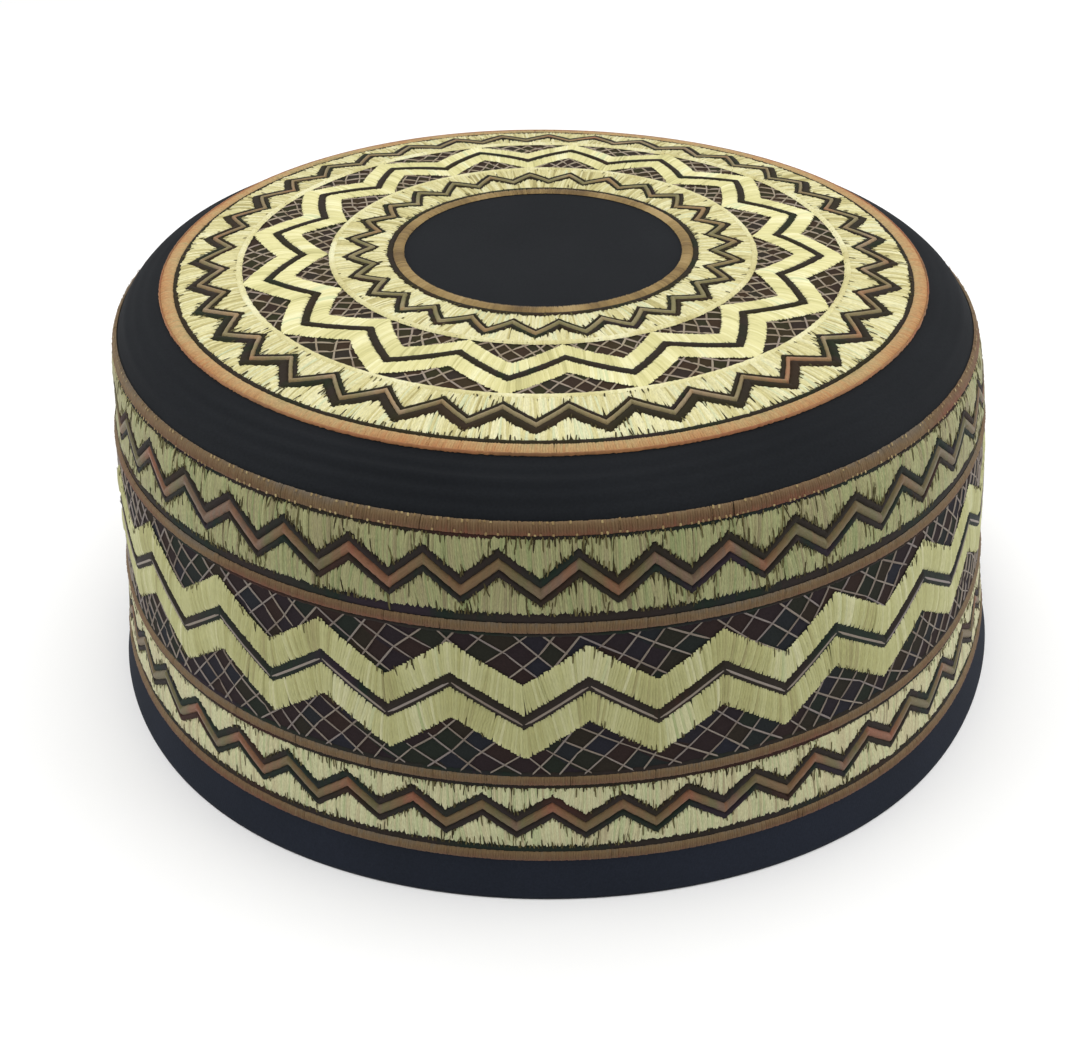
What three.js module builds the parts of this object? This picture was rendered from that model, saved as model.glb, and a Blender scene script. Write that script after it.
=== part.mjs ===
import * as THREE from 'three';

// Sizes in millimetres, +Z up, the front of the cap towards -Y

// Cloth
const WALL = 2.0;
const HEM_WALL = 2.6;
const HEM_EDGE = 0.7;

// Clearance between pieces that are sewn together
const JOINT = 0.3;

// Overall: the lower edge, its extra width over the crown seam, and the height to the shoulder
const HEM_RADIUS = 92.9;
const SIDE_FLARE = 11.8;
const SIDE_HEIGHT = 70.6;
const SHOULDER = 9.0;
const SHOULDER_DROP = 5.7;
const CROWN_DROP = 1.95;

// Heights of the strips up the side; the two borders share what is left
const HEM_STRIP = 7.3;
const HEM_LINE = 1.8;
const LOWER_LINE = 2.4;
const LOWER_MARGIN = 3.1;
const SIDE_BAND = 5.9;
const SIDE_SPACE = 2.7;
const SIDE_DEPTH = 7.7;
const UPPER_MARGIN = 1.9;
const UPPER_LINE = 2.1;
const SEAM_LINE = 2.2;
const LOWER_BORDER_SHARE = 0.482;

// Widths of the rings across the crown; the two borders share what is left
const DISC = 26.6;
const INNER_LINE = 2.1;
const STAR_MARGIN = 0.4;
const STAR_BAND = 3.9;
const STAR_SPACE = 1.8;
const STAR_DEPTH = 6.8;
const OUTER_LINE = 2.7;
const INNER_BORDER_SHARE = 0.49;

// Height of the stitched relief above the cloth
const LINE_RISE = 0.9;
const BAND_RISE = 0.6;

// Teeth of the two wide zigzags
const SIDE_TEETH = 25;
const STAR_TEETH = 16;

// Angle from the front, in degrees, of one upper tooth tip of each zigzag
const SIDE_PHASE = 2.7;
const STAR_PHASE = -7.6;

// Flats round the cap, and steps along one arm of the star
const FLATS = 3 * SIDE_TEETH;
const ARM_STEPS = 2;

// Widening of the side going down: share of the side height, share of the flare left
const SIDE_TABLE = [
  [0.0, 1.0],
  [0.101, 0.805],
  [0.27, 0.636],
  [0.473, 0.5],
  [0.676, 0.373],
  [0.839, 0.237],
  [0.946, 0.127],
  [1.0, 0.0],
];

// Rounded shoulder going inwards: share of its width, share of its rise
const SHOULDER_TABLE = [
  [0.0, 0.0],
  [0.25, 0.54],
  [0.62, 0.8],
  [1.0, 1.0],
];

// Shallow dome of the crown: share of its radius, share of its rise
const CROWN_TABLE = [
  [1.0, 0.0],
  [0.9, 0.45],
  [0.79, 0.82],
  [0.665, 1.0],
  [0.38, 0.93],
];

// Radii of the crown
const seamRadius = HEM_RADIUS - SIDE_FLARE;
const rimRadius = seamRadius - SHOULDER;
const outerLineFoot = rimRadius - OUTER_LINE;
const innerLineEdge = DISC + INNER_LINE;
const starWidth = STAR_DEPTH + 2 * STAR_BAND + STAR_SPACE;
const crownBorders = outerLineFoot - innerLineEdge - STAR_MARGIN - starWidth;
const starFoot = innerLineEdge + INNER_BORDER_SHARE * crownBorders + STAR_MARGIN;

// Heights of the side
const rimHeight = SIDE_HEIGHT + SHOULDER_DROP;
const seamLineFoot = SIDE_HEIGHT - SEAM_LINE;
const hemLineFoot = HEM_STRIP;
const zigzagHeight = SIDE_DEPTH + 2 * SIDE_BAND + SIDE_SPACE;
const middleZone = LOWER_LINE + LOWER_MARGIN + zigzagHeight + UPPER_MARGIN + UPPER_LINE;
const sideBorders = seamLineFoot - hemLineFoot - HEM_LINE - middleZone;
const lowerLineFoot = hemLineFoot + HEM_LINE + LOWER_BORDER_SHARE * sideBorders;
const zigzagFoot = lowerLineFoot + LOWER_LINE + LOWER_MARGIN;
const upperLineFoot = zigzagFoot + zigzagHeight + UPPER_MARGIN;

// Each seam lies under the middle of the line that covers it
const hemSeam = hemLineFoot + HEM_LINE / 2;
const crownSeam = seamLineFoot + SEAM_LINE / 2;

function between(table, x) {
  const rising = table[0][0] < table[table.length - 1][0];
  const rows = rising ? table : [...table].reverse();
  if (x <= rows[0][0]) return rows[0][1];
  for (let i = 1; i < rows.length; i += 1) {
    const [x0, y0] = rows[i - 1];
    const [x1, y1] = rows[i];
    if (x <= x1) return y0 + ((y1 - y0) * (x - x0)) / (x1 - x0);
  }
  return rows[rows.length - 1][1];
}

// Outer radius of the side at a height
function sideRadius(z) {
  return seamRadius + SIDE_FLARE * between(SIDE_TABLE, z / SIDE_HEIGHT);
}

// Outer height of the crown at a radius
function crownHeight(r) {
  return rimHeight + CROWN_DROP * between(CROWN_TABLE, r / rimRadius);
}

// Outer points of the side from one height to another
function sideRun(z0, z1) {
  const inside = SIDE_TABLE.map((row) => row[0] * SIDE_HEIGHT).filter((z) => z > z0 && z < z1);
  return [z0, ...inside, z1].map((z) => new THREE.Vector2(sideRadius(z), z));
}

// The same run set back by a wall, from top to bottom
function backRun(run, wall) {
  return run.map((p) => new THREE.Vector2(p.x - wall, p.y)).reverse();
}

function material(color, roughness) {
  return new THREE.MeshStandardMaterial({ color, roughness, metalness: 0 });
}

const cloth = material(0x262a31, 0.95);
const gold = material(0xd3d496, 0.7);
const copper = material(0xa9794a, 0.7);

const cap = new THREE.Group();

function add(name, geometry, look) {
  const mesh = new THREE.Mesh(geometry, look);
  mesh.name = name;
  cap.add(mesh);
  return mesh;
}

// A closed section in radius and height turned once round the cap
function turned(points, flats = FLATS) {
  const onAxis = points[0].x === 0;
  const loop = onAxis ? points : [...points, points[0]];
  const geometry = new THREE.LatheGeometry(loop, flats, THREE.MathUtils.degToRad(SIDE_PHASE));
  geometry.rotateX(Math.PI / 2);
  return geometry;
}

// A closed ring joined from sections that each stand at their own angle
function joined(sections) {
  const count = sections.length;
  const size = sections[0].length;
  const positions = [];
  for (const section of sections) {
    for (const p of section) positions.push(p.x, p.y, p.z);
  }
  const faces = [];
  for (let i = 0; i < count; i += 1) {
    for (let j = 0; j < size; j += 1) {
      const a = i * size + j;
      const b = ((i + 1) % count) * size + j;
      const c = ((i + 1) % count) * size + ((j + 1) % size);
      const d = i * size + ((j + 1) % size);
      faces.push(a, b, d, c, d, b);
    }
  }
  const geometry = new THREE.BufferGeometry();
  geometry.setAttribute('position', new THREE.Float32BufferAttribute(positions, 3));
  geometry.setIndex(faces);
  geometry.computeVertexNormals();
  return geometry;
}

// A point at an angle from the front, a radius and a height
function around(angle, r, z) {
  return new THREE.Vector3(r * Math.sin(angle), -r * Math.cos(angle), z);
}

// Side band: the standing wall between the hem seam and the crown seam
const sideWall = sideRun(hemSeam + JOINT / 2, crownSeam - JOINT / 2);
add('side_band', turned([...sideWall, ...backRun(sideWall, WALL)]), cloth);

// Hem band: the plain strip below, with its lower edge eased and a flat foot
const hemRun = sideRun(0, hemSeam - JOINT / 2);
const hemFoot = hemRun.shift();
const hemOuter = [
  new THREE.Vector2(hemFoot.x - HEM_EDGE, 0),
  new THREE.Vector2(sideRadius(HEM_EDGE), HEM_EDGE),
  ...hemRun,
];
const hemInner = [
  ...backRun(hemRun, HEM_WALL),
  new THREE.Vector2(hemFoot.x - HEM_WALL, HEM_EDGE / 2),
  new THREE.Vector2(hemFoot.x - HEM_WALL + HEM_EDGE / 2, 0),
];
add('hem_band', turned([...hemOuter, ...hemInner]), cloth);

// Crown: the dome, the rounded shoulder and the short turn-down to the seam
const skirtFoot = crownSeam + JOINT / 2;
const crownTop = CROWN_TABLE.map(([share]) => {
  const r = share * rimRadius;
  return new THREE.Vector2(r, crownHeight(r));
});
const shoulder = SHOULDER_TABLE.slice(0, -1).map(
  ([across, up]) => new THREE.Vector2(seamRadius - across * SHOULDER, SIDE_HEIGHT + up * SHOULDER_DROP),
);
const crownOuter = [
  new THREE.Vector2(sideRadius(skirtFoot), skirtFoot),
  ...shoulder,
  ...crownTop,
  new THREE.Vector2(0, crownHeight(0)),
];

// Each outer point is set back along its own normal to make the underside
function setBack(points, wall) {
  return points.map((p, i) => {
    const before = points[Math.max(i - 1, 0)];
    const after = points[Math.min(i + 1, points.length - 1)];
    const along = after.clone().sub(before).normalize();
    return new THREE.Vector2(p.x - along.y * wall, p.y + along.x * wall);
  });
}
const crownBack = setBack(crownOuter, WALL);
crownBack[0].set(crownOuter[0].x - WALL, skirtFoot);
crownBack[crownBack.length - 1].setX(0);
add('crown', turned([...crownBack.reverse(), ...crownOuter]), cloth);

// Raised satin line round the side, resting on the cloth with the joint clearance
function sideLine(name, foot, width) {
  const top = foot + width;
  const ease = width / 4;
  const section = [
    new THREE.Vector2(sideRadius(foot) + JOINT, foot),
    new THREE.Vector2(sideRadius(foot + ease) + JOINT + LINE_RISE, foot + ease),
    new THREE.Vector2(sideRadius(top - ease) + JOINT + LINE_RISE, top - ease),
    new THREE.Vector2(sideRadius(top) + JOINT, top),
  ];
  add(name, turned(section), copper);
}
sideLine('hem_line', hemLineFoot, HEM_LINE);
sideLine('side_lower_line', lowerLineFoot, LOWER_LINE);
sideLine('side_upper_line', upperLineFoot, UPPER_LINE);
sideLine('crown_seam_line', seamLineFoot, SEAM_LINE);

// Raised satin line round the crown
function crownLine(name, foot, width) {
  const edge = foot + width;
  const ease = width / 4;
  const section = [
    new THREE.Vector2(foot, crownHeight(foot) + JOINT),
    new THREE.Vector2(edge, crownHeight(edge) + JOINT),
    new THREE.Vector2(edge - ease, crownHeight(edge - ease) + JOINT + LINE_RISE),
    new THREE.Vector2(foot + ease, crownHeight(foot + ease) + JOINT + LINE_RISE),
  ];
  add(name, turned(section), copper);
}
crownLine('crown_outer_line', outerLineFoot, OUTER_LINE);
crownLine('crown_inner_line', DISC, INNER_LINE);

// Satin zigzag band round the side: one section at each tip and each valley
const chordDrop = HEM_RADIUS * (1 - Math.cos(Math.PI / (2 * SIDE_TEETH)));
function sideZigzag(name, foot) {
  const base = JOINT + chordDrop;
  const sections = [];
  for (let i = 0; i < 2 * SIDE_TEETH; i += 1) {
    const angle = THREE.MathUtils.degToRad(SIDE_PHASE) + (i * Math.PI) / SIDE_TEETH;
    const low = foot + (i % 2 === 0 ? SIDE_DEPTH : 0);
    const high = low + SIDE_BAND;
    sections.push([
      around(angle, sideRadius(low) + base, low),
      around(angle, sideRadius(low) + base + BAND_RISE, low),
      around(angle, sideRadius(high) + base + BAND_RISE, high),
      around(angle, sideRadius(high) + base, high),
    ]);
  }
  add(name, joined(sections), gold);
}
sideZigzag('side_zigzag_lower', zigzagFoot);
sideZigzag('side_zigzag_upper', zigzagFoot + SIDE_BAND + SIDE_SPACE);

// Satin band of the crown star: straight arms between tips and valleys
function starCorner(i, foot) {
  const angle = THREE.MathUtils.degToRad(STAR_PHASE) + (i * Math.PI) / STAR_TEETH;
  return around(angle, foot + (i % 2 === 0 ? STAR_DEPTH : 0), 0);
}
function starZigzag(name, foot) {
  const sections = [];
  for (let i = 0; i < 2 * STAR_TEETH; i += 1) {
    for (let k = 0; k < ARM_STEPS; k += 1) {
      const low = starCorner(i, foot).lerp(starCorner(i + 1, foot), k / ARM_STEPS);
      const high = starCorner(i, foot + STAR_BAND).lerp(starCorner(i + 1, foot + STAR_BAND), k / ARM_STEPS);
      const base = [low, high].map((p) => crownHeight(p.length()) + JOINT);
      sections.push([
        low.clone().setZ(base[0]),
        high.clone().setZ(base[1]),
        high.clone().setZ(base[1] + BAND_RISE),
        low.clone().setZ(base[0] + BAND_RISE),
      ]);
    }
  }
  add(name, joined(sections), gold);
}
starZigzag('star_inner', starFoot);
starZigzag('star_outer', starFoot + STAR_BAND + STAR_SPACE);

export default cap;
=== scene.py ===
import math
from collections import namedtuple

import bpy
import numpy as np
from mathutils import Matrix, Vector
from mathutils.bvhtree import BVHTree


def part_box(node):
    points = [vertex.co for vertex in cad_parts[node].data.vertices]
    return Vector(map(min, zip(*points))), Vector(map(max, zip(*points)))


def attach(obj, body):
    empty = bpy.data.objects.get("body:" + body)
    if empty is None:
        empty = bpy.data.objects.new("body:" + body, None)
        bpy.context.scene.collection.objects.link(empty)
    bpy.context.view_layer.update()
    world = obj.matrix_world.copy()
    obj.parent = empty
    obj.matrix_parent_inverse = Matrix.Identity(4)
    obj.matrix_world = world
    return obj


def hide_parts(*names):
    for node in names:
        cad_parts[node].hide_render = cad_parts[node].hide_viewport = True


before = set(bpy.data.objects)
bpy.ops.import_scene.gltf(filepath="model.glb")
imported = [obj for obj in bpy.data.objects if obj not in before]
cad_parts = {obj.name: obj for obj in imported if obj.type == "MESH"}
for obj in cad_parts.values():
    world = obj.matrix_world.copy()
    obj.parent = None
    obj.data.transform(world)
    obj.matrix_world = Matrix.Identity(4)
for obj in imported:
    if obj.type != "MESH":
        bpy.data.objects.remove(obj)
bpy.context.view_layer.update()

MM = 0.001
TURN = 2 * math.pi
FRONT = -math.pi / 2
SEED = 20
rng = np.random.default_rng(SEED)

# Teeth and first upper tip, in degrees from the front, of the wide zigzags
SIDE_TEETH, SIDE_PHASE = 25, 2.7
STAR_TEETH, STAR_PHASE = 16, -7.6

# Width of one band, depth of the teeth and pitch of the strands of the wide zigzags
SIDE_BAND, SIDE_DEPTH, SIDE_PITCH = 5.9 * MM, 7.7 * MM, 0.42 * MM
STAR_BAND, STAR_DEPTH, STAR_PITCH = 3.9 * MM, 6.8 * MM, 0.38 * MM

# Lean of their strands across the arms, then the pitch and reach of the nicks along the side's bands
SIDE_LEAN, STAR_LEAN = 0.2, -0.1
NICK_PITCH, NICK_REACH = 1.0 * MM, 1.9 * MM

# Middle radius of each wide pattern, which sets how many strands go round
SIDE_BAND_RADIUS, STAR_RADIUS = 86 * MM, 50 * MM

# The four borders, with the phase in degrees from the front and lengths in millimetres
# Tip is where the upper tips lie; low and high are gaps to the lines; nicks are a pitch and a reach
Border = namedtuple("Border", "teeth phase tip depth radius low high strips nicks")
BORDERS = {
    "side_upper_border": Border(45, 2.1, 66.4, 4.6, 84, 1.4, 0.3, (1.5, 1.95, 1.2), (0.5, 2.6)),
    "side_lower_border": Border(48, -1.6, 20.8, 4.4, 89, 1.1, 0.3, (1.5, 1.95, 1.2), (0.7, 1.8)),
    "crown_outer_border": Border(38, -2.1, 67.5, 4.6, 64, 0.0, 0.4, (2.0, 1.0, 0.9), (1.1, 1.6)),
    "crown_inner_border": Border(27, -3.2, 38.6, 4.1, 36, 1.1, 0.0, (1.1, 1.3, 0.7), (1.6, 1.3)),
}

# The raised lines in millimetres: how far each is set in from its low and high edges, and its radius
Line = namedtuple("Line", "low high radius")
LINES = {
    "hem_line": Line(0, 0, 91),
    "side_lower_line": Line(0.3, 0.3, 88),
    "side_upper_line": Line(0.15, 0.15, 85),
    "crown_seam_line": Line(0, 0.2, 82),
    "crown_outer_line": Line(0.25, 0, 71),
    "crown_inner_line": Line(0, 0, 29),
}

# The nets: lines each way round, their slopes, and how much they open at the right and left
SIDE_LINES, SIDE_SLOPES, SIDE_OPENING = (136, 106), (1.33, 0.85), 0.0155
CROWN_LINES, CROWN_SLOPES = (88, 88), (1.1, 1.1)
SIDE_NET_RADIUS = 87 * MM

# Stations along a net line, the fewest steps that show, and the steps of one strand
NET_STATIONS, NET_SHORTEST, NET_STRAND = 31, 3, 4

# Cloth walls, the gap cut at each seam, and the flats round the cap
WALL, HEM_WALL, CUT = 2.0 * MM, 2.6 * MM, 0.15 * MM
FLATS = 360

# Spacing of the rays that read the cloth's outline, and of the points along the smoothed outline
SCAN, STEP = 0.8 * MM, 0.4 * MM
SMOOTHING = 4

# Soft set of the whole cap: how far the crown tips to the front and to the right, and shifts left
TIP_FRONT, TIP_RIGHT = math.radians(1.08), math.radians(-0.9)
TIP_HEIGHT = 76 * MM
SHIFT_LEFT = 0.8 * MM

# Sag at the back of the crown: its depth, angle from the front, width and the radius where it counts whole
SAG, SAG_AT, SAG_WIDTH, SAG_RADIUS = 1.0 * MM, 2.7, 0.6, 75 * MM

# Radius from which the bulges and hollows count whole
SOFT_RADIUS = 60 * MM

# Soft bulges in millimetres, one all round, the others at an angle from the front and with a width
HEM_BULGE = 0.1
HEM_BULGES = ((-1.0, 0, 0.33), (0.9, 0.65, 0.26), (0.7, -0.75, 0.26), (-0.5, 1.2, 0.25))

# Soft hollows: depth, height and reach in millimetres, then angle and width in radians
HOLLOWS = ((-0.3, 38, 18, -1.6, 0.3), (-1.1, 69, 10, 1.75, 0.28), (-1.4, 60, 7, -1.55, 0.25))

# Creases of the shoulder in millimetres: fine folds, wide folds and slow waves
FINE_FOLD, WIDE_FOLD, SLOW_WAVE = 0.2, 0.15, 0.15

# The stitching: its foot over the cloth, its height over that foot and the pitch of its strands
LINE_FOOT, LINE_RISE, LINE_PITCH = 0.15 * MM, 0.5 * MM, 0.42 * MM
FILL_FOOT, FILL_RISE, FILL_PITCH = 0.1 * MM, 0.42 * MM, 0.36 * MM
BAND_FOOT, BAND_RISE = 0.2 * MM, 0.42 * MM
NICK_FOOT, NICK_RISE = 0.42 * MM, 0.14 * MM

# The ribbons of satin: foot and rise
OUTLINE_FOOT, OUTLINE_RISE = 0.05 * MM, 0.38 * MM
STRIP_FOOT, STRIP_RISE = 0.1 * MM, 0.45 * MM
MIDDLE_FOOT, MIDDLE_RISE = 0.1 * MM, 0.42 * MM
RUST_FOOT, RUST_RISE = 0.1 * MM, 0.5 * MM
ARC_FOOT, ARC_RISE = 0.2 * MM, 0.38 * MM
EDGE_FOOT, SIDE_EDGE_RISE, CROWN_EDGE_RISE = 0.02 * MM, 0.2 * MM, 0.28 * MM

# How far a dark strip reaches under the band beside it, and over the fill
UNDER, OVER = 0.1 * MM, 0.2 * MM

# Width and rise of the net's threads, and width, foot and rise of the thin thread and of the specks
SIDE_THREAD, CROWN_THREAD = (0.3 * MM, 0.3 * MM), (0.34 * MM, 0.28 * MM)
MIDDLE_THREAD, SPECK_SIZE = (0.4 * MM, 0.5 * MM, 0.2 * MM), (0.34 * MM, 0.55 * MM, 0.12 * MM)
SPECK_PITCH = 0.9 * MM

# Unevenness of the zigzags' corners, and the shortest strand that is laid
UNEVEN, SHORTEST = 0.12 * MM, 0.35 * MM


# Outline of the cloth, read from the CAD model

def ray_into(node):
    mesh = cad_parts[node].data
    tree = BVHTree.FromPolygons([v.co for v in mesh.vertices], [p.vertices for p in mesh.polygons])
    return lambda start, way: tree.ray_cast(Vector(start), Vector(way))[0]


def read_outline():
    angle = FRONT + math.radians(SIDE_PHASE)
    ca, sa = math.cos(angle), math.sin(angle)
    hem, side, crown = ray_into("hem_band"), ray_into("side_band"), ray_into("crown")
    low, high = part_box("crown")
    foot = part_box("side_band")[0].z
    outside = 200 * MM
    rows = []
    for z in np.arange(SCAN, low.z - 0.4 * MM, SCAN):
        wall = hem if z < foot - 0.2 * MM else side
        hit = wall((outside * ca, outside * sa, z), (-ca, -sa, 0))
        if hit:
            rows.append((math.hypot(hit.x, hit.y), z))
    for r in np.arange(high.x - 0.5 * MM, 0, -SCAN):
        hit = crown((r * ca, r * sa, outside), (0, 0, -1))
        if hit and hit.z > low.z + 0.8 * MM:
            rows.append((r, hit.z))
    rows.append((0.0, rows[-1][1]))
    rows.insert(0, (rows[0][0] + 0.2 * MM, 0.0))
    return np.array(rows)


def smooth(values, size):
    pad = 3 * size
    kernel = np.exp(-0.5 * (np.arange(-pad, pad + 1) / size) ** 2)
    kernel /= kernel.sum()
    before = 2 * values[0] - values[pad:0:-1]
    after = 2 * values[-1] - values[-2:-pad - 2:-1]
    return np.convolve(np.concatenate([before, values, after]), kernel, "valid")


def lengths(r, z):
    return np.concatenate([[0], np.cumsum(np.hypot(np.diff(r), np.diff(z)))])


rows = read_outline()
scanned = lengths(rows[:, 0], rows[:, 1])
grid = np.linspace(0, scanned[-1], int(scanned[-1] / STEP))
line_r = smooth(np.interp(grid, scanned, rows[:, 0]), SMOOTHING)
line_z = smooth(np.interp(grid, scanned, rows[:, 1]), SMOOTHING)
line_s = lengths(line_r, line_z)
dr, dz = np.gradient(line_r, line_s), np.gradient(line_z, line_s)
norm = np.hypot(dr, dz)
out_r, out_z = dz / norm, -dr / norm
s_end = line_s[-1]
side_end = int(np.argmax(line_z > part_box("crown")[0].z + 1.5 * MM))


def at_height(z):
    """Length along the cloth at a height of the side."""
    return np.interp(z, line_z[:side_end], line_s[:side_end])


def at_radius(r):
    """Length along the cloth at a radius of the crown."""
    return np.interp(r, line_r[:side_end - 1:-1], line_s[:side_end - 1:-1])


def radius_of(s):
    return np.interp(s, line_s, line_r)


def height_of(s):
    return np.interp(s, line_s, line_z)


def off_front(theta, centre, width):
    """Bell round an angle measured from the front."""
    return np.exp(-0.5 * (((theta - FRONT - centre + math.pi) % TURN - math.pi) / width) ** 2)


def settle(x, y, z):
    """The slight tilt and unevenness of a soft cap; the lower edge stays flat."""
    k = z / TIP_HEIGHT
    theta, r = np.arctan2(y, x), np.hypot(x, y)
    reach = np.clip(r / SOFT_RADIUS, 0, 1)
    hem = HEM_BULGE + sum(size * off_front(theta, at, wide) for size, at, wide in HEM_BULGES)
    swell = np.clip(1 - k, 0, 1) * hem
    for size, height, tall, at, wide in HOLLOWS:
        swell = swell + size * np.exp(-((z - height * MM) / (tall * MM)) ** 2) * off_front(theta, at, wide)
    grow = 1 + swell * MM * reach / np.maximum(r, 1 * MM)
    lift = (math.tan(TIP_FRONT) * y + math.tan(TIP_RIGHT) * x) * k
    lift = lift - SAG * off_front(theta, SAG_AT, SAG_WIDTH) * np.clip(k, 0, 1.1) * (r / SAG_RADIUS) ** 3
    return x * grow - SHIFT_LEFT * k, y * grow, z + lift


def place(theta, s, h):
    """Point at an angle, a length along the cloth and a height over it."""
    r = radius_of(s) + h * np.interp(s, line_s, out_r)
    z = height_of(s) + h * np.interp(s, line_s, out_z)
    return settle(r * np.cos(theta), r * np.sin(theta), z)


# Meshes

def make_mesh(name, points, quads, values, material):
    mesh = bpy.data.meshes.new(name)
    mesh.vertices.add(len(points))
    mesh.vertices.foreach_set("co", np.asarray(points, np.float32).ravel())
    quads = np.asarray(quads, np.int32)
    mesh.loops.add(quads.size)
    mesh.loops.foreach_set("vertex_index", quads.ravel())
    mesh.polygons.add(len(quads))
    mesh.polygons.foreach_set("loop_start", np.arange(0, quads.size, 4, dtype=np.int32))
    mesh.polygons.foreach_set("use_smooth", np.full(len(quads), True))
    mesh.update(calc_edges=True)
    for key, data in values.items():
        data = np.asarray(data, np.float32).ravel()
        layer = mesh.attributes.new(key, "FLOAT", "POINT" if len(data) == len(points) else "CORNER")
        layer.data.foreach_set("value", data)
    mesh.materials.append(material)
    piece = bpy.data.objects.new(name, mesh)
    bpy.context.scene.collection.objects.link(piece)
    return piece


def finish_piece(piece, slot, *nodes):
    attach(piece, "root")
    if nodes:
        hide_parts(*nodes)


# Shape of one strand: stations along it and points across it
ALONG = np.array([0.0, 0.15, 0.5, 0.85, 1.0])[None, :, None]
ALONG_RISE = np.array([0.0, 0.8, 1.0, 0.8, 0.0])[None, :, None]
ALONG_TAPER = np.array([1.0, 0.07, 0.0, 0.07, 1.0])[None, :, None]
ACROSS = np.array([-1.0, 0.0, 1.0])[None, None, :]
ACROSS_RISE = np.array([0.25, 1.0, 0.25])[None, None, :]

# Stations across a ribbon and their share of its rise, and its steps round the cap
RIBBON = np.array([0.0, 0.28, 0.72, 1.0])[None, :]
RIBBON_RISE = np.array([0.0, 1.0, 1.0, 0.0])[None, :]
RIBBON_STEPS = 1200


class Strands:
    """Many short raised threads gathered into one mesh."""

    def __init__(self):
        self.points, self.quads = [], []
        self.values = {"tint": [], "across": [], "along": [], "part": []}
        self.count = 0

    def keep(self, points, faces, shape, **values):
        """Adds a block of points, its faces and the attributes of its points."""
        self.points.append(np.stack(points, -1).reshape(-1, 3))
        self.quads.append(self.count + faces.reshape(-1, 4))
        for key, data in values.items():
            self.values[key].append(np.broadcast_to(data, shape).ravel())
        self.count += math.prod(shape)

    def add(self, t0, s0, t1, s1, width, base, rise, tint, tip=0.6):
        """Strands from one angle and length to another, narrower at both ends."""
        n = len(t0)
        if n == 0:
            return
        width, base, rise, tint, t0, s0, t1, s1 = (
            np.broadcast_to(np.asarray(value, float), (n,))[:, None, None]
            for value in (width, base, rise, tint, t0, s0, t1, s1))
        r_mid = radius_of((s0 + s1) / 2)
        da, ds = (t1 - t0) * r_mid, s1 - s0
        size = np.maximum(np.hypot(da, ds), 1e-6)
        w = width / 2 * (1 - (1 - tip) * ALONG_TAPER) * ACROSS
        theta = t0 + (t1 - t0) * ALONG + ds / size * w / r_mid
        s = s0 + ds * ALONG - da / size * w
        h = base + rise * ALONG_RISE * ACROSS_RISE
        k, j = ALONG.size, ACROSS.size
        i = np.arange(n)[:, None, None] * k * j
        i = i + np.arange(k - 1)[None, :, None] * j + np.arange(j - 1)[None, None, :]
        faces = np.stack([i, i + 1, i + j + 1, i + j], -1)
        run = size / MM * ALONG + 40 * rng.random((n, 1, 1))
        self.keep(place(theta, s, h), faces, (n, k, j), tint=tint, across=ACROSS, along=run, part=ALONG)

    def ribbon(self, low, high, to_s, zigzag, base, rise, tint, fray=0.06 * MM):
        """A smooth satin strip between two edges all round."""
        theta = np.linspace(0, TURN, RIBBON_STEPS, endpoint=False)
        if zigzag is not None:
            theta = np.sort(np.concatenate([theta, (zigzag.start + zigzag.angle) % TURN]))
        n, j = len(theta), RIBBON.size
        s0 = to_s(low(theta)) + rng.normal(size=n) * fray
        s1 = to_s(high(theta)) + rng.normal(size=n) * fray
        s = s0[:, None] + (s1 - s0)[:, None] * RIBBON
        h = base + rise * RIBBON_RISE * np.ones((n, 1))
        i = np.arange(n)[:, None] * j + np.arange(j - 1)[None, :]
        k = (np.arange(n)[:, None] + 1) % n * j + np.arange(j - 1)[None, :]
        faces = np.stack([i, k, k + 1, i + 1], -1)
        if np.mean(s1 - s0) < 0:
            faces = faces[..., ::-1]
        run = theta[:, None] * radius_of(s) / MM
        points = place(theta[:, None] * np.ones((1, j)), s, h)
        shade = tint(theta, n)[:, None]
        self.keep(points, faces, (n, j), tint=shade, across=3 * RIBBON, along=run, part=RIBBON)

    def build(self, name, material, slot, *nodes):
        values = {key: np.concatenate(data) for key, data in self.values.items()}
        piece = make_mesh(name, np.concatenate(self.points), np.concatenate(self.quads), values, material)
        finish_piece(piece, slot, *nodes)


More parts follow.
